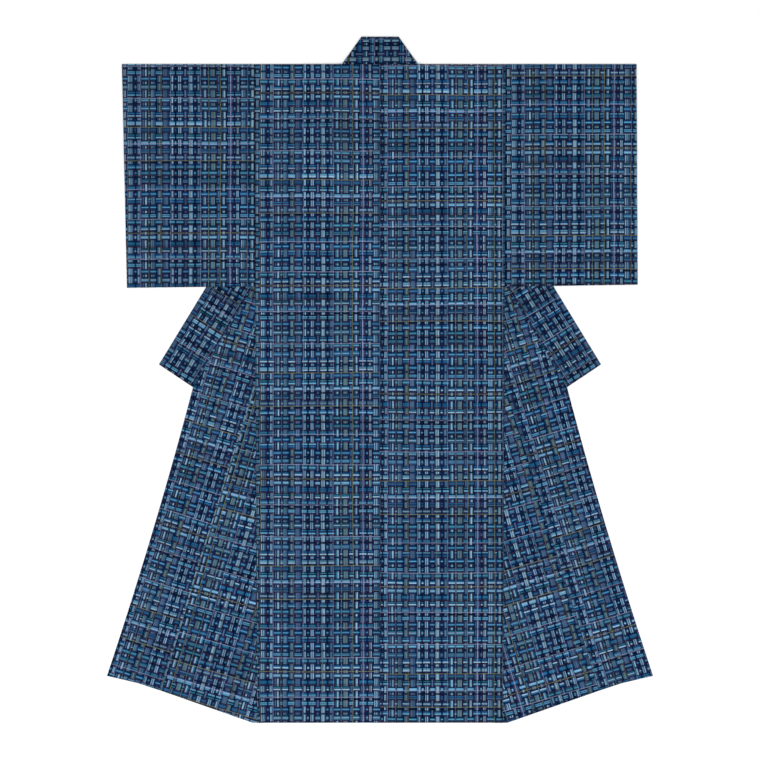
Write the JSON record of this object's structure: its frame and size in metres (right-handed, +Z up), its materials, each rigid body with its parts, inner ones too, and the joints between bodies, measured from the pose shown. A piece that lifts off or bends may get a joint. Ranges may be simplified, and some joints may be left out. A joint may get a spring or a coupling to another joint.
{
  "type": "kimono",
  "caption": "Kimono laid out flat with its back up, square sleeves spread and both fronts turned out from under the back.",
  "frame": {"origin": "centre of the laid out garment's footprint, on the surface it lies on", "axes": "+X across the body towards the wearer's right sleeve, +Y from the hem up to the collar, +Z up, out of the back"},
  "size_m": [1.365, 1.7145, 0.0042],
  "materials": {
    "block_weave": "matt silk block weave in indigo, teal, light blue and aubergine with single olive and lilac threads"
  },
  "bodies": {
    "root": {"body_left": "block_weave", "body_right": "block_weave", "sleeve_left": "block_weave", "sleeve_right": "block_weave", "okumi_left": "block_weave", "okumi_right": "block_weave", "collar": "block_weave"}
  },
  "joints": []
}
